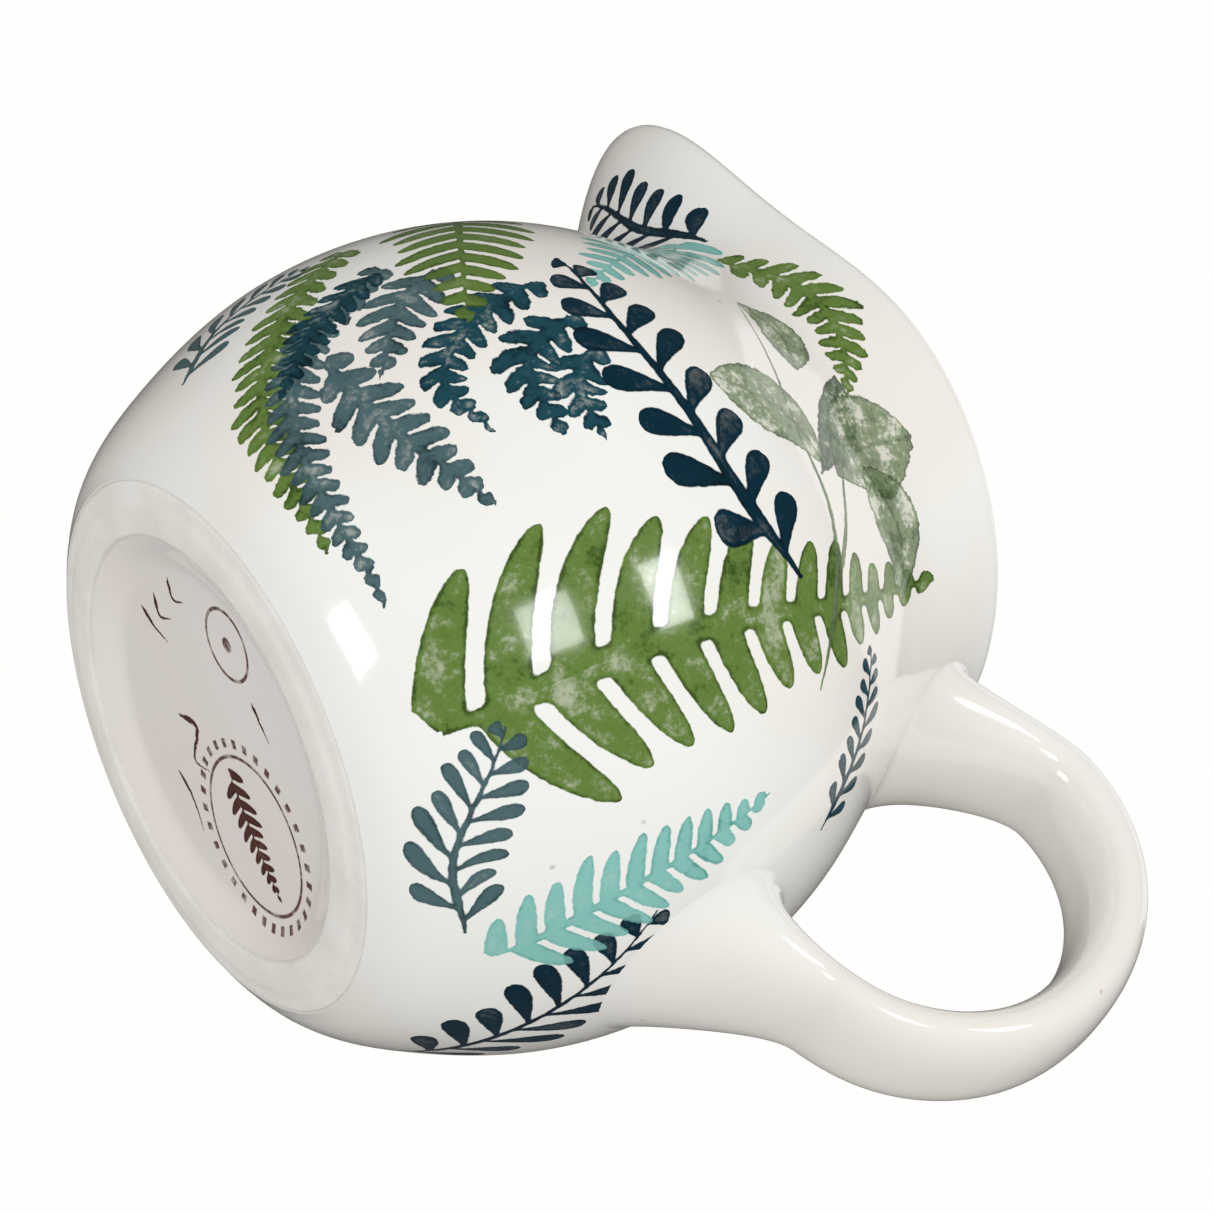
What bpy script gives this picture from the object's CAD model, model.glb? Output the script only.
"""A small stoneware cream jug with hand-painted ferns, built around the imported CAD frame.

The jug's dimensions are in millimetres, and MM turns them into the frame's metres. The origin is
the centre of the foot, the handle lies on the +X side and the pouring lip points nearly along -X.
Azimuths on the jug are degrees from +X, anticlockwise seen from above.
"""
import math

import bmesh
import bpy
import numpy as np
from mathutils import Matrix, Vector


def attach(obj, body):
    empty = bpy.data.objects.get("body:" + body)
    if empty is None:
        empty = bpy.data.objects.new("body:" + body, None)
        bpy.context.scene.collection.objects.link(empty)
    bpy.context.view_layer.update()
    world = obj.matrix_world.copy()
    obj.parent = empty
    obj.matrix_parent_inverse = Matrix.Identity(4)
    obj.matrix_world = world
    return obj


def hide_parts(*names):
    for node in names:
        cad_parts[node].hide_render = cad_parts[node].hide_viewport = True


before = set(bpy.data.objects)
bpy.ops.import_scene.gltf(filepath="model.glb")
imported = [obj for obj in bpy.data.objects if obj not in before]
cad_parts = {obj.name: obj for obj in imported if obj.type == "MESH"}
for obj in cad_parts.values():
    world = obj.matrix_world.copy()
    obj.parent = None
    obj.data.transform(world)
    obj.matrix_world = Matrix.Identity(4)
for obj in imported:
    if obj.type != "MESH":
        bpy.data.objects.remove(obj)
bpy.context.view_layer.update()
MM = 0.001

# ---- shape of the body, in millimetres: close to the CAD part's, with the glaze on --------
GLAZE = 0.39               # thickness of the coat
OUTER_PROFILE = [(28.4, 0), (33.5, 2.2), (40.2, 11), (46.2, 25), (47.5, 31.3), (43.4, 59.5),
                 (36.4, 76.5), (36.8, 83), (37.4, 90), (37.6, 103)]    # clay's radius and height
COLLAR_START = 72.0        # height where the collar begins to leave the round
FULL_PULL = 89.3           # profile height where the pull on the rim is complete
LIP_TURN = 8.0             # degrees between the lip and the line opposite the handle
SPOUT_REACH = 0.425        # how far the lip is pulled out, as a share of the radius
SPOUT_WIDTH = 27.8         # degrees
SPOUT_LIFT = 5.8
PINCH = 0.066              # how far the rim is pressed in beside the lip, as a share
LEAN = 0.104               # how far the rim is shifted towards the lip, as a share
BARE_LINE = 0.8            # height where the glaze stops above the foot
HEEL_TOP = 12.0            # height where the tight curve above the foot eases
FOOT_INNER_RADIUS = 25.6
RECESS_HEIGHT = 2.6 - GLAZE
LIP_EDGE = 87.8            # profile height where the rim's rounding starts
INSIDE_BOTTOM = 17.0       # height where the inside wall turns into the bowl
WALL = 4.0 + GLAZE
LIP_WALL = 3.4 + GLAZE
FLOOR_HEIGHT = 8.0 + GLAZE
AROUND = 320               # points round the body
FOOT_AROUND = 256          # points round the foot ring and the base


def spline(points, start, end):
    """A smooth curve through points, as a function of distance along their chords."""
    pts = np.array(points, float)
    knots = np.r_[0, np.cumsum(np.linalg.norm(np.diff(pts, axis=0), axis=1))]
    steps = np.diff(knots)
    count = len(pts)
    system = np.zeros((count, count))
    wanted = np.zeros((count, 2))
    system[0, 0] = system[-1, -1] = 1
    wanted[0], wanted[-1] = start, end
    for i in range(1, count - 1):
        before, after = steps[i - 1], steps[i]
        system[i, i - 1:i + 2] = after, 2 * (before + after), before
        wanted[i] = 3 * (after * (pts[i] - pts[i - 1]) / before
                         + before * (pts[i + 1] - pts[i]) / after)
    slopes = np.linalg.solve(system, wanted)

    def at(distance):
        distance = np.clip(np.asarray(distance, float), 0, knots[-1])
        i = np.clip(np.searchsorted(knots, distance, side="right") - 1, 0, count - 2)
        h = steps[i][..., None]
        t = ((distance - knots[i])[..., None]) / h
        rise = pts[i + 1] - pts[i]
        return (pts[i] + t * h * slopes[i]
                + t * t * (3 * rise - h * (2 * slopes[i] + slopes[i + 1]))
                + t ** 3 * (h * (slopes[i] + slopes[i + 1]) - 2 * rise))
    return at, knots[-1]


profile_curve, profile_length = spline(OUTER_PROFILE, (1, 0), (0, 1))
fine_profile = profile_curve(np.linspace(0, profile_length, 2000))


def radius_at(height):
    """Outside radius of the clay at a profile height."""
    return np.interp(height, fine_profile[:, 1], fine_profile[:, 0])


def smooth_share(height):
    """0 below the collar, 1 where the pull is complete, and smooth between."""
    share = np.clip((height - COLLAR_START) / (FULL_PULL - COLLAR_START), 0, 1)
    return share * share * (3 - 2 * share)


def pull(radius, height, azimuth):
    """Move a point of the round body to where the pulled lip and the leaning rim put it."""
    share = smooth_share(height)
    off = np.angle(np.exp(1j * (azimuth - math.pi - math.radians(LIP_TURN))))
    width = math.radians(SPOUT_WIDTH)
    bulge = np.exp(-(off / width) ** 2)
    flank = np.exp(-((np.abs(off) - 2 * width) / width) ** 2)
    stretch = SPOUT_REACH * bulge - PINCH * flank - LEAN * np.cos(azimuth)
    # the wall keeps its thickness: only the outside radius is stretched, and radius follows it
    outside = radius_at(height)
    moved = radius + outside * share * stretch
    raised = height + SPOUT_LIFT * share * bulge
    return np.stack([moved * np.cos(azimuth), moved * np.sin(azimuth), raised], -1)


def on_body(azimuth_deg, height, lift=0.0):
    """Point on the glazed outside, in millimetres."""
    azimuth = np.radians(np.asarray(azimuth_deg, float))
    height = np.asarray(height, float)
    return pull(radius_at(height) + GLAZE + lift, height, azimuth)


# ---- small mesh helpers -------------------------------------------------------------------
def piece(name, verts, faces, smooth=True):
    """A mesh object in metres from points in millimetres, shaded smooth."""
    mesh = bpy.data.meshes.new(name)
    mesh.from_pydata([tuple(v) for v in np.asarray(verts) * MM], [], faces)
    mesh.update()
    mesh.polygons.foreach_set("use_smooth", [smooth] * len(mesh.polygons))
    obj = bpy.data.objects.new(name, mesh)
    bpy.context.scene.collection.objects.link(obj)
    bm = bmesh.new()
    bm.from_mesh(mesh)
    bmesh.ops.recalc_face_normals(bm, faces=bm.faces)
    bm.to_mesh(mesh)
    bm.free()
    return obj


def ring_faces(rings, around, first=0):
    """Quads between successive rings of points that all have the same count."""
    faces = []
    for row in range(rings - 1):
        for i in range(around):
            j = (i + 1) % around
            low, high = first + row * around, first + (row + 1) * around
            faces.append((low + i, low + j, high + j, high + i))
    return faces


def lathe(name, section, around, pulled=False):
    """A closed turned shape: section runs from an axis point to an axis point."""
    azimuth = np.linspace(0, 2 * math.pi, around, endpoint=False)
    rows = [pull(np.full(around, r), np.full(around, z), azimuth) if pulled else
            np.stack([r * np.cos(azimuth), r * np.sin(azimuth), np.full(around, z)], -1)
            for r, z in section[1:-1]]
    verts = list(np.concatenate(rows))
    faces = ring_faces(len(rows), around)
    verts += [(0, 0, section[0][1]), (0, 0, section[-1][1])]
    start, end = len(verts) - 2, len(verts) - 1
    last = (len(rows) - 1) * around
    for i in range(around):
        j = (i + 1) % around
        faces.append((start, j, i))
        faces.append((end, last + i, last + j))
    return piece(name, verts, faces)


def arc(centre, radius, start_deg, end_deg, steps):
    """Points of an arc in the (radius, height) plane."""
    angles = np.radians(np.linspace(start_deg, end_deg, steps))
    return [(centre[0] + radius * math.cos(a), centre[1] + radius * math.sin(a)) for a in angles]


# ---- glazed body --------------------------------------------------------------------------
def glazed_body():
    """One continuous coat: outside, over the lip, down the inside, and closed under the floor."""
    # the rows of points, closer together near the foot and on the collar
    heights = np.r_[np.linspace(BARE_LINE, HEEL_TOP, 16, endpoint=False),
                    np.linspace(HEEL_TOP, COLLAR_START, 56, endpoint=False),
                    np.linspace(COLLAR_START, LIP_EDGE, 20)]
    bare_edge = radius_at(BARE_LINE)
    # closed below the bowl, out of sight inside the clay
    section = [(0, 5.4), (20, 5.4), (27, 4.4), (bare_edge - 0.9, BARE_LINE + 0.5)]
    section += [(bare_edge - 0.3, BARE_LINE - 0.02), (bare_edge + 0.05, BARE_LINE - 0.06)]
    section += [(radius_at(h) + GLAZE * min(1, 0.35 + (h - BARE_LINE) / 3), h) for h in heights]
    lip_radius = LIP_WALL / 2
    crest = (radius_at(LIP_EDGE) + GLAZE - lip_radius, LIP_EDGE)
    section += [(crest[0] + lip_radius * math.cos(a), crest[1] + 0.9 * lip_radius * math.sin(a))
                for a in np.linspace(0.2, math.pi - 0.2, 11)]
    for h in heights[::-1]:
        if h > INSIDE_BOTTOM:
            thin = np.clip((h - COLLAR_START) / (FULL_PULL - COLLAR_START), 0, 1)
            section.append((radius_at(h) - WALL - (LIP_WALL - WALL) * thin, h))
    bowl_points = [section[-1], (35.2, 13.2), (27, 9.6), (14, FLOOR_HEIGHT + 0.25),
                   (0, FLOOR_HEIGHT)]
    bowl, bowl_length = spline(bowl_points, (-0.45, -0.9), (-1, 0))
    section += [tuple(p) for p in bowl(np.linspace(0, bowl_length, 22)[1:])]
    return lathe("glazed_body", section, AROUND, pulled=True)


# ---- bare foot ring and the recessed base -------------------------------------------------
def foot_ring():
    """Unglazed clay: the narrow ring that the jug stands on, with softened edges."""
    bare_edge = radius_at(BARE_LINE)
    section = [(0, 4.6), (24.8, 4.6), (24.9, 1.2)]
    section += arc((FOOT_INNER_RADIUS + 0.1, 0.7), 0.7, 180, 268, 8)
    section += [(26.6, 0.0), (27.4, 0.0), (28.2, 0.03)]
    outside, length = spline([(28.6, 0.08), (29.4, 0.36), (bare_edge - 0.05, BARE_LINE)],
                             (0.97, 0.24), (0.8, 0.6))
    section += [tuple(p) for p in outside(np.linspace(0, length, 7))]
    section += [(bare_edge - 0.7, BARE_LINE + 1.0), (27, 4.9), (0, 4.9)]
    return lathe("foot_ring", section, FOOT_AROUND)


def base_panel():
    """The glazed recessed underside, dished a little, and the slope down to the foot ring."""
    flat = [(r, RECESS_HEIGHT + 0.15 - 0.15 * (r / 20) ** 2) for r in np.linspace(0, 20, 41)]
    slope_points = [(20, RECESS_HEIGHT), (22.0, RECESS_HEIGHT - 0.45), (23.8, 0.95), (25.3, 0.42)]
    slope, length = spline(slope_points, (1, -0.02), (0.95, -0.3))
    section = flat + [tuple(p) for p in slope(np.linspace(0, length, 12)[1:])]
    section += [(25.5, 0.75), (25.5, 3.4), (0, 3.8)]
    return lathe("base_panel", section, FOOT_AROUND)


# ---- handle -------------------------------------------------------------------------------
HANDLE_POINTS = [(34.5, 80), (45.7, 89), (58.8, 88.5), (70.2, 77.9), (72.8, 61), (64.8, 48),
                 (45, 40.3)]
STRAP_HALF_WIDTH = 7.4 + GLAZE
STRAP_TOP_HALF = 4.0 + GLAZE         # half the thickness at the collar
STRAP_BOTTOM_HALF = 2.7 + GLAZE      # half the thickness past STRAP_THINNED of the way
STRAP_THINNED = 0.8
STRAP_SQUARENESS = 2.35              # 2 is an ellipse, more is squarer
STRAP_AROUND = 72                    # points round the strap
STRAP_ROWS = 110


def natural_ends(points):
    """Unit directions of the first and last runs of a point list."""
    pts = np.array(points, float)
    first, last = pts[1] - pts[0], pts[-1] - pts[-2]
    return first / np.linalg.norm(first), last / np.linalg.norm(last)


handle_start, handle_end = natural_ends(HANDLE_POINTS)
handle_curve, handle_length = spline(HANDLE_POINTS, handle_start, handle_end)


def strap_ring(distance):
    """One section of the strap and the direction of travel there, in millimetres."""
    step = 0.05
    x, z = handle_curve(distance)
    ahead = handle_curve(distance + step) - handle_curve(distance - step)
    ahead = ahead / np.linalg.norm(ahead)
    share = min(distance / handle_length / STRAP_THINNED, 1)
    half = STRAP_TOP_HALF + (STRAP_BOTTOM_HALF - STRAP_TOP_HALF) * share
    turn = np.linspace(0, 2 * math.pi, STRAP_AROUND, endpoint=False)
    power = 2 / STRAP_SQUARENESS
    across = np.sign(np.cos(turn)) * np.abs(np.cos(turn)) ** power * STRAP_HALF_WIDTH
    thick = np.sign(np.sin(turn)) * np.abs(np.sin(turn)) ** power * half
    normal = np.array([-ahead[1], ahead[0]])
    ring = np.stack([x + thick * normal[0], across, z + thick * normal[1]], -1)
    return ring, np.array([ahead[0], 0, ahead[1]])


JOINTS = {
    # distance from the strap's end where the flare starts, the middle height, half width and
    # reach up and down of its footprint on the body, and how hard each end pulls on the curve
    "upper": dict(start=17.5, middle=79.2, half_y=13.5, up=8.2, down=10.5,
                  strap_pull=12.0, body_pull=9.0),
    "lower": dict(start=14.5, middle=37.0, half_y=15.5, up=10.5, down=14.0,
                  strap_pull=14.0, body_pull=11.0),
}
FLARE_ROWS = 30
SUNK = 0.06                # how far the flare's edge dips under the body's glaze


def body_coordinates(points):
    """Azimuth in degrees, height and lift over the glaze of points beside the handle."""
    azimuth = np.arctan2(points[:, 1], points[:, 0])
    height = points[:, 2]
    glazed = radius_at(height) * (1 - smooth_share(height) * LEAN * np.cos(azimuth)) + GLAZE
    lift = np.hypot(points[:, 0], points[:, 1]) - glazed
    return np.stack([np.degrees(azimuth), height, lift], -1)


def flare(which):
    """Rows of points from the strap down onto the body, meeting it at a tangent."""
    joint = JOINTS[which]
    upper = which == "upper"
    ring, ahead = strap_ring(joint["start"] if upper else handle_length - joint["start"])
    towards_body = -ahead if upper else ahead
    start = body_coordinates(ring)
    middle = ring.mean(0)
    depart = (body_coordinates(ring + 0.1 * towards_body) - start) / 0.1 * joint["strap_pull"]
    # the bearing of each ring point round the strap decides where it lands on the body
    rise = (ring - middle) @ np.cross(ahead, (0, 1, 0))
    rise = rise if upper else -rise
    rise = rise * STRAP_HALF_WIDTH / np.abs(rise).max()
    bearing = np.arctan2(rise, ring[:, 1])
    reach = np.where(np.sin(bearing) > 0, joint["up"], joint["down"])
    land_y = joint["half_y"] * np.cos(bearing)
    land_h = joint["middle"] + reach * np.sin(bearing)
    girth = radius_at(land_h)
    land = np.stack([np.degrees(np.arcsin(land_y / girth)), land_h, np.full(len(ring), -SUNK)], -1)
    outward = [np.degrees(np.cos(bearing) / girth), np.sin(bearing), np.zeros(len(ring))]
    leave = np.stack(outward, -1) * joint["body_pull"]
    t = np.linspace(0, 1, FLARE_ROWS)[:, None, None]
    path = ((2 * t ** 3 - 3 * t ** 2 + 1) * start + (t ** 3 - 2 * t ** 2 + t) * depart
            + (-2 * t ** 3 + 3 * t ** 2) * land + (t ** 3 - t ** 2) * leave)
    return [on_body(row[:, 0], row[:, 1], row[:, 2]) for row in path]


def handle_strap():
    """The whole glazed handle in one coat: a flare, the swept strap and the other flare."""
    upper = flare("upper")
    lower = flare("lower")
    sunk_end = np.array([-1.6, 0, 0])      # each end closes inside the body's wall
    last = handle_length - JOINTS["lower"]["start"]
    steps = np.linspace(JOINTS["upper"]["start"], last, STRAP_ROWS)[1:-1]
    middle = [strap_ring(d)[0] for d in steps]
    rings = [upper[-1] + sunk_end] + upper[::-1] + middle + lower + [lower[-1] + sunk_end]
    verts = np.concatenate(rings)
    faces = ring_faces(len(rings), STRAP_AROUND)
    faces.append(tuple(range(STRAP_AROUND)))
    faces.append(tuple(range(len(verts) - STRAP_AROUND, len(verts))))
    return piece("handle_strap", verts, faces)


# ---- painted motifs -----------------------------------------------------------------------
# Each motif is a stem through hand-placed (azimuth, height) points, and how its leaflets grow:
# reach (mm), belly (where they are longest), pitch (mm), sweep and curl towards the tip,
# petiole (0 broad base, 1 teardrop), fill (share of the pitch), stem half width (mm).
OLIVE = (0.120, 0.205, 0.042)
NAVY = (0.001, 0.022, 0.040)
TEAL = (0.010, 0.062, 0.086)
GREY_TEAL = (0.070, 0.130, 0.145)
AQUA = (0.230, 0.520, 0.480)
SAGE = (0.190, 0.260, 0.140)
SAGE_DARK = (0.070, 0.130, 0.060)
BROWN = (0.090, 0.028, 0.020)

FERN = dict(belly=0.25, sweep=0.35, curl=0.035, petiole=0.0, fill=0.74, stem=0.6, alternate=0.4,
            blade=0.0, mottle=0.6, crowd=0.5, rough=0.5, opacity=1.0, fall=1.5, pool=0.8, web=0.35)
SICKLE = dict(FERN, belly=0.04, sweep=0.22, curl=0.026, fill=0.72, stem=1.7, mottle=1.1, crowd=0.9,
              rough=0.45, fall=1.1, pool=1.2, web=1.1)
SERRATE = dict(FERN, belly=0.35, sweep=0.55, curl=0.02, fill=0.84, stem=1.0, mottle=1.0, crowd=0.4,
               rough=0.9)
SPRIG = dict(FERN, belly=0.40, sweep=0.85, curl=-0.02, petiole=1.0, fill=0.90, stem=0.55,
             alternate=1.0, mottle=0.5, crowd=0.3, fall=2.4, web=0.6, rough=0.4)
LEAF = dict(FERN, belly=0.5, petiole=0.5, fill=0.0, stem=0.0, blade=1.0, mottle=2.0, rough=1.2,
            opacity=0.92, pool=1.5)
TWIG = dict(FERN, fill=0.0, stem=0.45, reach=1.0, mottle=0.6)

MOTIFS = [
    # the large olive fern beside the handle
    dict(SICKLE, stem_points=[(-52, 8.5), (-54, 26), (-51, 47), (-41, 77)],
         reach=16.5, pitch=8.0, colour=OLIVE),
    # ferns and serrated fronds under the lip, from the foot up
    dict(SERRATE, stem_points=[(-135, 32), (-125, 18), (-110, 9), (-84, 6)],
         reach=4.4, pitch=2.9, colour=OLIVE),
    dict(SERRATE, stem_points=[(-122, 30), (-116, 17), (-98, 9), (-72, 8)],
         reach=3.6, pitch=2.7, colour=GREY_TEAL),
    dict(SERRATE, stem_points=[(-122, 29), (-119, 20), (-112, 12)],
         reach=3.6, pitch=2.4, colour=TEAL),
    dict(SERRATE, stem_points=[(-116, 34), (-111, 26), (-103, 20)],
         reach=4.6, pitch=3.2, colour=GREY_TEAL),
    dict(SERRATE, stem_points=[(-111, 17), (-96, 17), (-78, 21)],
         reach=4.4, pitch=3.4, colour=GREY_TEAL),
    dict(SERRATE, stem_points=[(-106, 41), (-103, 31), (-96, 24), (-87, 25)],
         reach=3.6, pitch=3.0, colour=TEAL),
    dict(SERRATE, stem_points=[(-98, 41), (-94, 33), (-82, 31)],
         reach=3.8, pitch=3.1, colour=TEAL),
    dict(SERRATE, stem_points=[(-92, 40), (-88, 36), (-80, 35)],
         reach=3.4, pitch=3.0, colour=TEAL),
    dict(FERN, stem_points=[(-139, 50), (-124, 42), (-104, 31)],
         reach=9.0, pitch=4.3, colour=OLIVE),
    # the navy sprig across the belly
    dict(SPRIG, stem_points=[(-54, 51), (-65, 47.5), (-80, 46), (-94, 45.5), (-109, 47)],
         reach=7.0, pitch=6.6, colour=NAVY, belly=0.45, stem=1.0),
    # under the collar
    dict(FERN, stem_points=[(-132, 76), (-116, 63), (-103, 47)],
         reach=8.0, pitch=3.6, colour=AQUA),
    dict(SERRATE, stem_points=[(-118, 75.5), (-104, 79.5), (-89, 78.5), (-78, 74)],
         reach=5.0, pitch=2.9, colour=OLIVE, sweep=0.4),
    dict(TWIG, colour=SAGE, stem_points=[(-39, 50), (-49, 55.5), (-62, 60), (-72, 60.5),
                                         (-84, 63.4), (-100, 67.6)]),
    dict(TWIG, stem_points=[(-49, 55.5), (-58, 62), (-66, 66), (-72, 71)], colour=SAGE),
    dict(LEAF, stem_points=[(-101, 68), (-93, 70), (-84, 68)], reach=3.4, colour=SAGE),
    dict(LEAF, stem_points=[(-65, 64), (-68, 71), (-67, 80)], reach=6.5, colour=SAGE),
    dict(LEAF, stem_points=[(-66, 63), (-76, 60), (-84, 52)], reach=4.6, colour=SAGE),
    dict(LEAF, stem_points=[(-41, 70), (-53, 72.5), (-65, 70)], reach=4.2, colour=SAGE),
    dict(LEAF, stem_points=[(-66, 61), (-73, 69), (-82, 74)], reach=3.0, colour=SAGE_DARK),
    dict(SPRIG, stem_points=[(-128, 78.5), (-146, 78), (-170, 82)],
         reach=6.4, pitch=5.4, colour=NAVY, stem=0.9),
    # around the handle
    dict(SPRIG, stem_points=[(-17, 50), (-27, 57), (-39, 61)],
         reach=3.6, pitch=2.9, colour=TEAL, mottle=0.9),
    dict(FERN, stem_points=[(-12, 11), (-21, 22), (-29, 41)],
         reach=7.0, pitch=3.7, colour=AQUA),
    dict(SPRIG, stem_points=[(32, 9), (12, 15), (-17, 27)],
         reach=8.0, pitch=5.4, colour=NAVY, stem=0.6),
    dict(SPRIG, stem_points=[(-17, 8), (-30, 7), (-50, 14)],
         reach=5.4, pitch=3.4, colour=GREY_TEAL),
    dict(SPRIG, stem_points=[(-135, 9), (-141, 17), (-138, 28)],
         reach=5.0, pitch=3.3, colour=GREY_TEAL),
    # the far side
    dict(SICKLE, stem_points=[(96, 7), (93, 28), (97, 50), (109, 78)],
         reach=17, pitch=7.4, colour=OLIVE),
    dict(SPRIG, stem_points=[(58, 16), (64, 34), (77, 52), (86, 70)],
         reach=7.0, pitch=5.4, colour=NAVY, stem=0.7),
    dict(FERN, stem_points=[(46, 11), (51, 28), (46, 47)], reach=7.0, pitch=3.7, colour=AQUA),
    dict(SPRIG, stem_points=[(28, 58), (38, 66), (52, 71)],
         reach=3.8, pitch=3.0, colour=TEAL, mottle=0.9),
    dict(SERRATE, stem_points=[(118, 10), (128, 20), (134, 34), (132, 48)],
         reach=4.6, pitch=3.2, colour=GREY_TEAL),
    dict(SERRATE, stem_points=[(126, 9), (140, 17), (150, 30)],
         reach=4.4, pitch=3.1, colour=OLIVE),
    dict(SERRATE, stem_points=[(138, 50), (148, 42), (158, 30)],
         reach=4.2, pitch=3.0, colour=TEAL),
    dict(SERRATE, stem_points=[(150, 54), (160, 44), (169, 30)],
         reach=4.0, pitch=3.0, colour=TEAL),
    dict(FERN, stem_points=[(156, 8), (170, 17), (180, 30)],
         reach=6.0, pitch=3.4, colour=OLIVE),
    dict(FERN, stem_points=[(122, 60), (138, 66), (152, 75)],
         reach=6.5, pitch=3.5, colour=AQUA),
    dict(SPRIG, stem_points=[(150, 64), (166, 68), (178, 78)],
         reach=5.4, pitch=3.8, colour=NAVY),
    dict(LEAF, stem_points=[(62, 76), (70, 80), (79, 78)], reach=4.4, colour=SAGE),
    dict(LEAF, stem_points=[(58, 74), (52, 79), (44, 82)], reach=4.2, colour=SAGE),
    dict(LEAF, stem_points=[(60, 72), (62, 64), (59, 56)], reach=4.6, colour=SAGE),
    dict(SPRIG, stem_points=[(70, 8), (80, 9), (92, 14)],
         reach=4.6, pitch=3.2, colour=GREY_TEAL),
]


# the underside's marks: rings as ((x, y), radius) in millimetres, and brushed strokes
MARK_RING = ((9.4, 5.6), 9.5)
SMALL_RING = ((-3.1, -14.9), 4.2)
BEADS = 30
STROKE = dict(FERN, fill=0.0, stem=0.38, reach=0.8, colour=BROWN, mottle=0.3)
BASE_MARKS = [
    dict(FERN, stem_points=[(2.6, 2.2), (9.0, 6.0), (16.2, 9.2)],
         reach=3.4, pitch=1.9, stem=0.25, rough=0.2,
         colour=BROWN),
    dict(STROKE, stem_points=[(2.9, -11.9), (5.0, -10.9), (7.3, -9.9)]),
    dict(STROKE, stem_points=[(-18.4, -3.4), (-15.4, -3.0), (-12.6, -3.6)]),
    dict(STROKE, stem_points=[(-16.8, -7.6), (-15.0, -5.6), (-13.0, -7.4)]),
    dict(STROKE, stem_points=[(-15.2, -12.4), (-13.4, -10.6), (-11.6, -12.0)]),
    dict(STROKE, stem_points=[(-8.0, 4.5), (-4.6, 2.6), (-3.2, 7.6), (-0.6, 6.2)], stem=0.5),
    dict(STROKE, stem_points=[(-5.6, 12.6), (-2.2, 13.4), (1.2, 16.0)]),
]


def on_base(x, y):
    """Point on the recessed underside, in millimetres."""
    return np.stack([x, y, np.full(len(x), RECESS_HEIGHT)], -1)


# what each layer stores on the mesh, three numbers to an attribute; "tint" holds its colour
STORED = {"place": ("along", "across", "valid"), "grow": ("length", "reach", "belly"),
          "comb": ("pitch", "sweep", "curl"), "leaf": ("petiole", "fill", "stem"),
          "more": ("blade", "alternate", "mottle"), "last": ("crowd", "rough", "opacity"),
          "form": ("fall", "pool", "web")}
STEM_STEPS = 260           # points along each stem
LAYERS = 6                 # the most that the renderer's shader takes
PAINT_MARGIN = 1.4         # millimetres kept round each motif


def surface_distance_fields(points, normals, stem):
    """For every point: distance along the stem and signed distance across it; and its length."""
    stem = np.asarray(stem)
    runs = np.r_[0, np.cumsum(np.linalg.norm(np.diff(stem, axis=0), axis=1))]
    heading = np.gradient(stem, axis=0)
    heading /= np.linalg.norm(heading, axis=1)[:, None]
    near = np.linalg.norm(points[:, None, :] - stem[None, :, :], axis=-1)
    index = near.argmin(1)
    offset = points - stem[index]
    along = runs[index] + (offset * heading[index]).sum(1)
    side = np.cross(normals, heading[index])
    across = (offset * side).sum(1)
    distance = near[np.arange(len(points)), index]
    sideways = np.sqrt(np.maximum(distance ** 2 - (along - runs[index]) ** 2, 0))
    return along, np.sign(across) * sideways, runs[-1]


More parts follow.
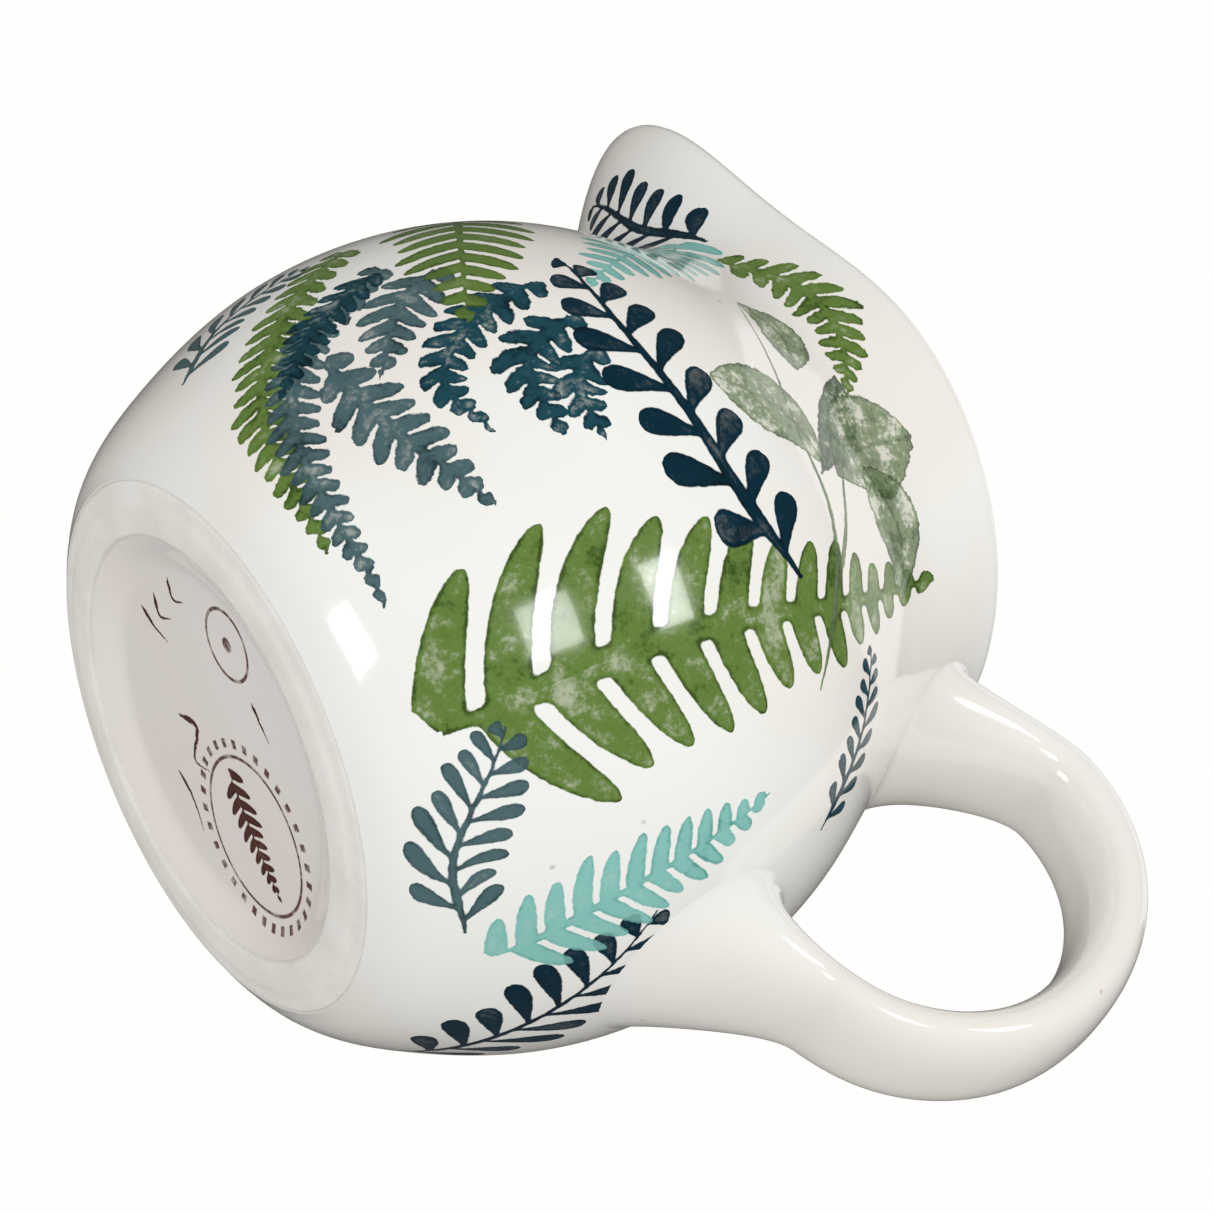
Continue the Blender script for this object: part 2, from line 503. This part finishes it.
def paint(obj, motifs, locate):
    """Store each motif's stem coordinates and growth on the mesh, on the first layer with room.

    Returns how many layers are used.
    """
    mesh = obj.data
    count = len(mesh.vertices)
    points = np.zeros(count * 3)
    mesh.vertices.foreach_get("co", points)
    points = points.reshape(-1, 3) / MM
    normals = np.zeros(count * 3)
    mesh.vertices.foreach_get("normal", normals)
    normals = normals.reshape(-1, 3)
    edges = np.zeros(len(mesh.edges) * 2, int)
    mesh.edges.foreach_get("vertices", edges)
    edges = edges.reshape(-1, 2)
    used = [np.zeros(count, bool) for _ in range(LAYERS)]
    fields = {}
    for layer in range(LAYERS):
        for kind in (*STORED, "tint"):
            fields[layer, kind] = np.zeros((count, 3))
    top = 0
    for motif in motifs:
        stem_points = np.array(motif["stem_points"], float)
        chart, length = spline(stem_points, *natural_ends(stem_points))
        path = chart(np.linspace(0, length, STEM_STEPS))
        stem = locate(path[:, 0], path[:, 1])
        centre = stem.mean(0)
        reach = motif["reach"]
        size = np.linalg.norm(stem - centre, axis=1).max() + reach + 6
        close = np.where(np.linalg.norm(points - centre, axis=1) < size)[0]
        along, across, length = surface_distance_fields(points[close], normals[close], stem)
        # the direction the painted side faces, so that the wall's other side stays bare
        spread = stem[None, ::STEM_STEPS // 10]
        under = np.linalg.norm(points[close][:, None] - spread, axis=-1).argmin(0)
        front = normals[close][under].mean(0)
        # the leaflets' own envelope, as the brushwork draws it, with a margin round it
        away = np.abs(across)
        before = PAINT_MARGIN + 0.45 * motif.get("pitch", 0)
        root = (along - motif["sweep"] * away - motif["curl"] * away ** 2) / length
        root = root + np.where(root < motif["belly"], 0.06, -0.06)
        span = np.where(root < motif["belly"], motif["belly"] + 0.45, 1.04 - motif["belly"])
        envelope = np.clip(1 - (np.abs(root - motif["belly"]) / span) ** motif["fall"], 0.05, 1)
        widest = np.where(motif["blade"] > 0.5, reach, reach * envelope)
        inside = ((away < widest + PAINT_MARGIN) & (normals[close] @ front > 0.1)
                  & (along > -before) & (along < length + reach * 0.9 + PAINT_MARGIN))
        chosen = close[inside]
        region = np.zeros(count, bool)
        region[chosen] = True
        grown = region.copy()
        touching = region[edges].any(1)
        grown[edges[touching].ravel()] = True
        layer = next((n for n in range(LAYERS) if not (used[n] & grown).any()), None)
        if layer is None:      # crowded out: it stays unpainted
            continue
        top = max(top, layer)
        used[layer] |= grown
        place = [along[inside], across[inside], np.ones(len(chosen))]
        fields[layer, "place"][chosen] = np.stack(place, -1)
        grown_with = {"pitch": 4, **motif, "length": length}
        for kind in list(STORED)[1:]:
            fields[layer, kind][chosen] = [grown_with[name] for name in STORED[kind]]
        fields[layer, "tint"][chosen] = motif["colour"]
    for (layer, kind), values in fields.items():
        if layer <= top:
            attribute = mesh.attributes.new(f"paint{layer}_{kind}", "FLOAT_VECTOR", "POINT")
            attribute.data.foreach_set("vector", values.ravel())
    return top + 1


# ---- shader helpers -----------------------------------------------------------------------
class Tree:
    """Short ways to add and link shader nodes in one tree."""

    def __init__(self, tree):
        self.tree = tree

    def node(self, kind, **settings):
        made = self.tree.nodes.new(kind)
        for name, value in settings.items():
            setattr(made, name, value)
        return made

    def feed(self, socket, value):
        if isinstance(value, bpy.types.NodeSocket):
            self.tree.links.new(value, socket)
        else:
            socket.default_value = value

    def math(self, operation, a, b=0.0, c=0.0, clamp=False):
        made = self.node("ShaderNodeMath", operation=operation, use_clamp=clamp)
        for socket, value in zip(made.inputs, (a, b, c)):
            self.feed(socket, value)
        return made.outputs[0]

    def mix(self, share, a, b, blend="MIX"):
        made = self.node("ShaderNodeMix", data_type="RGBA", blend_type=blend)
        self.feed(made.inputs["Factor"], share)
        for socket, value in zip((made.inputs[6], made.inputs[7]), (a, b)):
            self.feed(socket, (*value, 1) if isinstance(value, tuple) else value)
        return made.outputs[2]

    def ramp(self, value, low, high, to_low=0.0, to_high=1.0):
        made = self.node("ShaderNodeMapRange", interpolation_type="SMOOTHSTEP")
        for socket, fed in zip(made.inputs, (value, low, high, to_low, to_high)):
            self.feed(socket, fed)
        return made.outputs[0]

    def noise(self, vector, scale, detail=2.0, roughness=0.5):
        made = self.node("ShaderNodeTexNoise")
        self.feed(made.inputs["Vector"], vector)
        made.inputs["Scale"].default_value = scale
        made.inputs["Detail"].default_value = detail
        made.inputs["Roughness"].default_value = roughness
        return made.outputs["Fac"]

    def attribute(self, name):
        split = self.node("ShaderNodeSeparateXYZ")
        stored = self.node("ShaderNodeAttribute", attribute_name=name)
        self.feed(split.inputs[0], stored.outputs["Vector"])
        return split.outputs


FAR = 50.0                 # millimetres past an edge: switches a shape off where it doesn't belong


def brush_group():
    """Node group: stem coordinates and growth in, painted cover and pigment depth out."""
    group = bpy.data.node_groups.new("brushwork", "ShaderNodeTree")
    stored = [name for names in STORED.values() for name in names]
    for name in stored + ["wobble_a", "wobble_b"]:
        group.interface.new_socket(name, in_out="INPUT", socket_type="NodeSocketFloat")
    for name in ("cover", "depth"):
        group.interface.new_socket(name, in_out="OUTPUT", socket_type="NodeSocketFloat")
    t = Tree(group)
    given = t.node("NodeGroupInput").outputs
    result = t.node("NodeGroupOutput").inputs
    m = t.math
    along = m("ADD", given["along"], m("MULTIPLY", given["wobble_a"], given["rough"]))
    across = m("ADD", given["across"], m("MULTIPLY", given["wobble_b"], given["rough"]))
    away = m("ABSOLUTE", across)
    left = m("LESS_THAN", across, 0.0)
    stagger = m("MULTIPLY", left, m("MULTIPLY", given["alternate"], 0.5))
    swept = m("ADD", m("MULTIPLY", given["sweep"], away),
              m("MULTIPLY", given["curl"], m("MULTIPLY", away, away)))
    # leaflets crowd together towards the tip: their spacing shrinks to pitch / (1 + crowd)
    placed = m("SUBTRACT", along, swept)
    crowding = m("ADD", 1.0, m("DIVIDE", m("MULTIPLY", m("MULTIPLY", given["crowd"], 0.5), placed),
                               given["length"]))
    count = m("ADD", m("DIVIDE", m("MULTIPLY", placed, crowding), given["pitch"]), stagger)
    index = m("FLOOR", m("ADD", count, 0.5))
    within = m("ABSOLUTE", m("SUBTRACT", count, index))
    plain_root = m("DIVIDE", m("MULTIPLY", m("SUBTRACT", index, stagger), given["pitch"]),
                   given["length"])
    crowded = m("MULTIPLY", m("MULTIPLY", given["crowd"], 2.0), plain_root)
    crowd_root = m("SQRT", m("MAXIMUM", m("ADD", 1.0, crowded), 0.0))
    root = m("DIVIDE", m("SUBTRACT", crowd_root, 1.0), given["crowd"])
    spacing = m("DIVIDE", given["pitch"], m("ADD", 1.0, m("MULTIPLY", given["crowd"], root)))
    # leaflets are longest at the belly and shrink to the tip
    before = m("LESS_THAN", root, given["belly"])
    span = m("ADD", m("MULTIPLY", before, m("ADD", given["belly"], 0.45)),
             m("MULTIPLY", m("SUBTRACT", 1.0, before), m("SUBTRACT", 1.04, given["belly"])))
    lean = m("DIVIDE", m("SUBTRACT", root, given["belly"]), span)
    envelope = m("MAXIMUM", m("SUBTRACT", 1.0, m("POWER", m("ABSOLUTE", lean), given["fall"])), 0.0)
    first = m("SUBTRACT", m("MULTIPLY", given["petiole"], 0.035), 0.02)
    on_stem = m("MULTIPLY", m("GREATER_THAN", root, first), m("LESS_THAN", root, 1.0))
    dice = t.node("ShaderNodeTexWhiteNoise", noise_dimensions="2D")
    pair = t.node("ShaderNodeCombineXYZ")
    t.feed(pair.inputs[0], m("ADD", index, m("MULTIPLY", left, 31.0)))
    t.feed(pair.inputs[1], m("ROUND", m("MULTIPLY", given["length"], 2.0)))
    t.feed(dice.inputs["Vector"], pair.outputs[0])
    chance = dice.outputs["Value"]
    uneven = m("ADD", 0.82, m("MULTIPLY", chance, 0.22))
    long = m("MULTIPLY", m("MULTIPLY", given["reach"], envelope), uneven)
    slope = m("ADD", given["sweep"], m("MULTIPLY", m("MULTIPLY", given["curl"], 2.0), away))
    tilt = m("SQRT", m("ADD", 1.0, m("MULTIPLY", slope, slope)))
    # x runs from the stem to the tip along the leaflet's own axis, so that tips are round
    offset = m("MULTIPLY", m("SUBTRACT", count, index), spacing)
    shear = m("DIVIDE", m("MULTIPLY", offset, slope), m("MULTIPLY", tilt, tilt))
    x = m("DIVIDE", m("ADD", away, shear), m("MAXIMUM", long, 0.05))
    x_in = m("MAXIMUM", m("MINIMUM", x, 1.0), 0.0)
    broad = m("MULTIPLY", m("SUBTRACT", 1.0, m("MULTIPLY", 0.10, x_in)),
              m("SQRT", m("SUBTRACT", 1.0, m("POWER", x_in, 4.0))))
    tear = m("MULTIPLY", m("ADD", 0.10, m("MULTIPLY", 1.15, m("POWER", x_in, 1.15))),
             m("SQRT", m("SUBTRACT", 1.0, m("POWER", x_in, 3.2))))
    profile = m("ADD", m("MULTIPLY", broad, m("SUBTRACT", 1.0, given["petiole"])),
                m("MULTIPLY", tear, given["petiole"]))
    widened = m("MULTIPLY", profile, m("POWER", tilt, 0.5))
    half = m("MULTIPLY", m("MULTIPLY", given["fill"], 0.5), widened)
    leaf_edge = m("DIVIDE", m("MULTIPLY", m("SUBTRACT", half, within), spacing), tilt)
    beyond = m("MULTIPLY", m("SUBTRACT", 1.0, x), m("MULTIPLY", long, 3.0))
    leaf_edge = m("MINIMUM", leaf_edge, beyond)
    # nothing grows from behind the stem's start
    leaf_edge = m("MINIMUM", leaf_edge, m("ADD", m("ADD", along, 0.5), m("MULTIPLY", away, 0.55)))
    leaf_edge = m("SUBTRACT", leaf_edge, m("MULTIPLY", m("SUBTRACT", 1.0, on_stem), FAR))
    no_leaf = m("LESS_THAN", given["fill"], 0.01)
    leaf_edge = m("SUBTRACT", leaf_edge, m("MULTIPLY", no_leaf, FAR))
    share = m("DIVIDE", along, given["length"])
    stem_on = m("MULTIPLY", m("GREATER_THAN", share, 0.0), m("LESS_THAN", share, 1.0))
    begun = t.ramp(share, -0.02, 0.22, 0.25, 1.0)
    stem_half = m("MULTIPLY", m("MULTIPLY", given["stem"], begun), m("SUBTRACT", 1.15, share))
    stem_edge = m("SUBTRACT", stem_half, away)
    stem_edge = m("SUBTRACT", stem_edge, m("MULTIPLY", m("SUBTRACT", 1.0, stem_on), FAR))
    # a single blade is a lens along the stem, widest a little past its middle
    kept_share = m("MINIMUM", m("MAXIMUM", share, 0.0), 1.0)
    lens = m("SINE", m("MULTIPLY", m("POWER", kept_share, 1.25), math.pi))
    blade_reach = m("MULTIPLY", given["reach"], given["blade"])
    blade_half = m("MULTIPLY", blade_reach, m("POWER", m("MAXIMUM", lens, 0.0), 0.8))
    no_blade = m("LESS_THAN", given["blade"], 0.5)
    blade_edge = m("SUBTRACT", m("SUBTRACT", blade_half, away), m("MULTIPLY", no_blade, FAR))
    blade_edge = m("SUBTRACT", blade_edge, m("MULTIPLY", m("SUBTRACT", 1.0, stem_on), FAR))
    edge = m("MAXIMUM", m("SMOOTH_MAX", leaf_edge, stem_edge, given["web"]), blade_edge)
    cover = m("MULTIPLY", t.ramp(edge, -0.09, 0.09), m("GREATER_THAN", given["valid"], 0.999))
    # pigment pools along the edge of each brush stroke and differs from leaflet to leaflet
    pool = m("MULTIPLY", t.ramp(edge, 0.65, 0.05), given["pool"])
    vein = m("MULTIPLY", t.ramp(away, 0.45, 0.1), given["blade"])
    depth = m("ADD", m("MULTIPLY", pool, 0.6), m("MULTIPLY", m("SUBTRACT", chance, 0.5), 0.35))
    t.feed(result["cover"], cover)
    t.feed(result["depth"], m("ADD", depth, m("MULTIPLY", vein, 0.5)))
    return group


BRUSH = brush_group()


def painted_colour(t, ground, layers, position):
    """Lay the painted layers over the ground colour."""
    wobble_a = t.math("MULTIPLY", t.math("SUBTRACT", t.noise(position, 900, 2.0, 0.6), 0.5), 0.9)
    wobble_b = t.math("MULTIPLY", t.math("SUBTRACT", t.noise(position, 1100, 2.0, 0.6), 0.5), 0.9)
    wash = t.noise(position, 260, 4.0, 0.62)
    speck = t.noise(position, 1500, 3.0, 0.7)
    colour = ground
    for layer in range(layers):
        brush = t.node("ShaderNodeGroup", node_tree=BRUSH)
        outputs = {}
        for kind, sockets in STORED.items():
            parts = t.attribute(f"paint{layer}_{kind}")
            for part, socket in zip(parts, sockets):
                t.feed(brush.inputs[socket], part)
                outputs[socket] = part
        t.feed(brush.inputs["wobble_a"], wobble_a)
        t.feed(brush.inputs["wobble_b"], wobble_b)
        tint = t.node("ShaderNodeAttribute", attribute_name=f"paint{layer}_tint").outputs["Color"]
        patchy = t.math("MULTIPLY", outputs["mottle"], 2.6)
        mottled = t.math("MULTIPLY", t.math("SUBTRACT", wash, 0.5), patchy)
        grainy = t.math("ADD", 0.4, outputs["mottle"])
        grain = t.math("MULTIPLY", t.math("SUBTRACT", speck, 0.5), grainy)
        depth = t.math("ADD", t.math("ADD", brush.outputs["depth"], mottled), grain)
        faded = t.math("MULTIPLY", outputs["mottle"], 0.38, clamp=True)
        pale = t.mix(faded, tint, (0.80, 0.79, 0.70))
        deep = t.mix(0.75, tint, t.mix(1.0, tint, tint, "MULTIPLY"))
        pooled = t.mix(t.ramp(depth, 0.15, 0.95), tint, deep)
        pigment = t.mix(t.ramp(depth, -0.8, 0.05), pale, pooled)
        cover = t.math("MULTIPLY", brush.outputs["cover"], outputs["opacity"])
        over = t.mix(0.35, pigment, t.mix(1.0, colour, pigment, "MULTIPLY"))
        colour = t.mix(cover, colour, over)
    return colour


# ---- materials ----------------------------------------------------------------------------
def new_material(name):
    material = bpy.data.materials.new(name)
    material.use_nodes = True
    tree = material.node_tree
    shader = tree.nodes["Principled BSDF"]
    return material, Tree(tree), shader


def object_position(t):
    return t.node("ShaderNodeTexCoord").outputs["Object"]


def glaze_ground(t, position):
    """Warm white glaze: slow warm and cool drift, and fine iron specks."""
    drift = t.noise(position, 22, 2.0, 0.5)
    ground = t.mix(t.ramp(drift, 0.35, 0.68), (0.755, 0.722, 0.676), (0.775, 0.785, 0.755))
    cells = t.node("ShaderNodeTexVoronoi", feature="F1")
    t.feed(cells.inputs["Vector"], position)
    cells.inputs["Scale"].default_value = 230
    chosen = t.node("ShaderNodeTexWhiteNoise")
    t.feed(chosen.inputs["Vector"], cells.outputs["Position"])
    spot = t.math("MULTIPLY", t.ramp(cells.outputs["Distance"], 0.11, 0.03),
                  t.math("GREATER_THAN", chosen.outputs["Value"], 0.955))
    return t.mix(t.math("MULTIPLY", spot, 0.45), ground, (0.30, 0.22, 0.15))


def finish_glaze(t, shader, position, colour, gloss=0.09):
    """Glassy surface with the slight orange peel and pooling of a fired glaze."""
    t.feed(shader.inputs["Base Color"], colour)
    rough = t.ramp(t.noise(position, 140, 3.0, 0.6), 0.3, 0.75, gloss, gloss + 0.07)
    t.feed(shader.inputs["Roughness"], rough)
    shader.inputs["IOR"].default_value = 1.52
    shader.inputs["Coat Weight"].default_value = 0.35
    shader.inputs["Coat Roughness"].default_value = 0.04
    ripple = t.math("MULTIPLY", t.noise(position, 700, 2.0, 0.5), 0.10)
    peel = t.math("ADD", t.noise(position, 95, 2.0, 0.5), ripple)
    bump = t.node("ShaderNodeBump")
    bump.inputs["Strength"].default_value = 0.10
    bump.inputs["Distance"].default_value = 0.0006
    t.feed(bump.inputs["Height"], peel)
    t.feed(shader.inputs["Normal"], bump.outputs[0])


def glaze_material(name, layers=0):
    material, t, shader = new_material(name)
    position = object_position(t)
    colour = glaze_ground(t, position)
    if layers:
        colour = painted_colour(t, colour, layers, position)
    finish_glaze(t, shader, position, colour)
    return material


def base_mark(t, position):
    """Cover of the generic printed mark: two rings, a beaded border and a dot."""
    split = t.node("ShaderNodeSeparateXYZ")
    t.feed(split.inputs[0], position)

    def distance_from(centre):
        across = t.math("SUBTRACT", split.outputs[0], centre[0] * MM)
        along = t.math("SUBTRACT", split.outputs[1], centre[1] * MM)
        across_squared = t.math("MULTIPLY", across, across)
        squares = t.math("ADD", across_squared, t.math("MULTIPLY", along, along))
        return t.math("SQRT", squares), t.math("ARCTAN2", along, across)

    def line(distance, half_width):
        return t.ramp(distance, (half_width + 0.08) * MM, (half_width - 0.08) * MM)

    cover = None
    for centre, radius in (MARK_RING, SMALL_RING):
        reach, _ = distance_from(centre)
        ring = line(t.math("ABSOLUTE", t.math("SUBTRACT", reach, radius * MM)), 0.22)
        cover = ring if cover is None else t.math("MAXIMUM", cover, ring)
    reach, _ = distance_from(SMALL_RING[0])
    cover = t.math("MAXIMUM", cover, line(reach, 0.9))
    reach, turn = distance_from(MARK_RING[0])
    beads = t.math("MULTIPLY", turn, BEADS / (2 * math.pi))
    beads = t.math("ABSOLUTE", t.math("SUBTRACT", beads, t.math("ROUND", beads)))
    band = line(t.math("ABSOLUTE", t.math("SUBTRACT", reach, (MARK_RING[1] + 1.6) * MM)), 0.55)
    cover = t.math("MAXIMUM", cover, t.math("MULTIPLY", band, t.ramp(beads, 0.24, 0.16)))
    worn = t.ramp(t.noise(position, 700, 3.0, 0.65), 0.30, 0.55, 0.45, 0.95)
    return t.math("MULTIPLY", cover, worn)


def base_material(layers):
    """The underside's glaze, a little warmer, with its printed and brushed brown marks."""
    material, t, shader = new_material("base_glaze")
    position = object_position(t)
    colour = t.mix(0.6, glaze_ground(t, position), (0.760, 0.690, 0.655))
    colour = t.mix(base_mark(t, position), colour, BROWN)
    colour = painted_colour(t, colour, layers, position)
    finish_glaze(t, shader, position, colour, 0.22)
    return material


def bare_clay_material():
    """Unglazed fired stoneware: matt, gritty, a little stained where it stands."""
    material, t, shader = new_material("bare_stoneware")
    position = object_position(t)
    grain = t.noise(position, 2600, 3.0, 0.7)
    stain = t.noise(position, 120, 3.0, 0.6)
    clay = t.mix(t.ramp(stain, 0.35, 0.7), (0.720, 0.695, 0.640), (0.770, 0.755, 0.715))
    clay = t.mix(t.math("MULTIPLY", t.ramp(grain, 0.64, 0.76), 0.30), clay, (0.42, 0.34, 0.26))
    t.feed(shader.inputs["Base Color"], clay)
    t.feed(shader.inputs["Roughness"], t.ramp(grain, 0.3, 0.7, 0.42, 0.62))
    bump = t.node("ShaderNodeBump")
    bump.inputs["Strength"].default_value = 0.45
    bump.inputs["Distance"].default_value = 0.0002
    t.feed(bump.inputs["Height"], grain)
    t.feed(shader.inputs["Normal"], bump.outputs[0])
    return material


def wear(obj, material):
    obj.data.materials.clear()
    obj.data.materials.append(material)


# ---- stage, lights and camera -------------------------------------------------------------
def floor():
    """A pale floor that only shows from above, so that a view from below sees the jug's base."""
    half = 3000
    corners = [(-half, -half, 0), (half, -half, 0), (half, half, 0), (-half, half, 0)]
    obj = piece("studio_floor", corners, [(0, 1, 2, 3)], smooth=False)
    material, t, shader = new_material("studio_floor")
    shader.inputs["Base Color"].default_value = (0.82, 0.81, 0.79, 1)
    shader.inputs["Roughness"].default_value = 0.6
    clear = t.node("ShaderNodeBsdfTransparent")
    blend = t.node("ShaderNodeMixShader")
    seen = t.math("MULTIPLY", t.node("ShaderNodeLightPath").outputs["Is Camera Ray"],
                  t.math("SUBTRACT", 1.0, t.node("ShaderNodeNewGeometry").outputs["Backfacing"]))
    t.feed(blend.inputs[0], seen)
    t.feed(blend.inputs[1], clear.outputs[0])
    t.feed(blend.inputs[2], shader.outputs[0])
    t.feed(t.tree.nodes["Material Output"].inputs["Surface"], blend.outputs[0])
    wear(obj, material)
    if obj.data.polygons[0].normal.z < 0:
        obj.data.flip_normals()


def area_light(name, location, target, size, power, colour=(1, 1, 1)):
    data = bpy.data.lights.new(name, "AREA")
    data.shape = "RECTANGLE"
    data.size, data.size_y = size
    data.energy = power
    data.color = colour
    obj = bpy.data.objects.new(name, data)
    obj.location = location
    aim = Vector(target) - Vector(location)
    obj.rotation_euler = aim.to_track_quat("-Z", "Y").to_euler()
    bpy.context.scene.collection.objects.link(obj)


WORLD_LIGHT = 0.82         # what lights the jug from all sides
WORLD_MIRRORED = 0.05      # what its glaze mirrors: a darker room, so that the pigments stay deep


def studio():
    world = bpy.data.worlds.new("studio")
    bpy.context.scene.world = world
    world.use_nodes = True
    background = world.node_tree.nodes["Background"]
    background.inputs["Color"].default_value = (1.0, 0.995, 0.985, 1)
    t = Tree(world.node_tree)
    path = t.node("ShaderNodeLightPath").outputs
    seen = t.math("MULTIPLY", path["Is Camera Ray"], 1 - WORLD_LIGHT)
    strength = t.math("ADD", WORLD_LIGHT, seen)
    mirrored = t.math("MULTIPLY", path["Is Glossy Ray"], WORLD_MIRRORED - WORLD_LIGHT)
    strength = t.math("ADD", strength, mirrored)
    t.feed(background.inputs["Strength"], strength)
    bpy.context.scene.view_settings.view_transform = "Standard"
    jug = (0, 0, 0.045)
    area_light("window", (0.36, -0.60, -0.10), jug, (0.17, 0.16), 0.8)
    area_light("window_upper", (0.37, -0.55, 0.28), jug, (0.20, 0.12), 0.9)
    area_light("window_low", (0.05, -0.42, -0.58), jug, (0.22, 0.20), 0.8)
    area_light("overhead", (-0.1, 0.2, 0.9), jug, (0.7, 0.7), 1.2)


# the camera's place: degrees round the jug and below it, roll, and millimetres
CAMERA_AZIMUTH = 27.1
CAMERA_ELEVATION = -31.5
CAMERA_ROLL = 67.6
CAMERA_DISTANCE = 336.6
CAMERA_SIDE = -9.2         # the jug's middle sits this far from the picture's middle, in mm
CAMERA_DOWN = 1.4
LENS = 84.1
JUG_MIDDLE = 45.0


def camera():
    azimuth = math.radians(CAMERA_AZIMUTH)
    elevation = math.radians(CAMERA_ELEVATION)
    roll = math.radians(CAMERA_ROLL)
    level_reach = math.cos(elevation)
    back = Vector((math.sin(azimuth) * level_reach, -math.cos(azimuth) * level_reach,
                   math.sin(elevation)))
    level = (-back).cross(Vector((0, 0, 1))).normalized()
    upright = level.cross(-back)
    right = level * math.cos(roll) + upright * math.sin(roll)
    up = upright * math.cos(roll) - level * math.sin(roll)
    aim = Vector((0, 0, JUG_MIDDLE)) - right * CAMERA_SIDE + up * CAMERA_DOWN
    place = (aim + back * CAMERA_DISTANCE) * MM
    data = bpy.data.cameras.new("camera")
    data.lens = LENS
    data.sensor_width = 36
    data.clip_start = 0.01
    obj = bpy.data.objects.new("camera", data)
    obj.matrix_world = Matrix((right, up, back)).transposed().to_4x4()
    obj.location = place
    bpy.context.scene.collection.objects.link(obj)
    bpy.context.scene.camera = obj


# ---- build --------------------------------------------------------------------------------
camera()
studio()
floor()

body = glazed_body()
wear(body, glaze_material("painted_glaze", paint(body, MOTIFS, on_body)))
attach(body, "root")
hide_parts("body_glaze")

foot = foot_ring()
wear(foot, bare_clay_material())
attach(foot, "root")
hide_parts("jug_body")

base = base_panel()
wear(base, base_material(paint(base, BASE_MARKS, on_base)))
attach(base, "root")
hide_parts("base_glaze")

plain_glaze = glaze_material("plain_glaze")
strap = handle_strap()
wear(strap, plain_glaze)
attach(strap, "root")
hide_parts("handle", "handle_glaze", "upper_handle_joint", "lower_handle_joint")
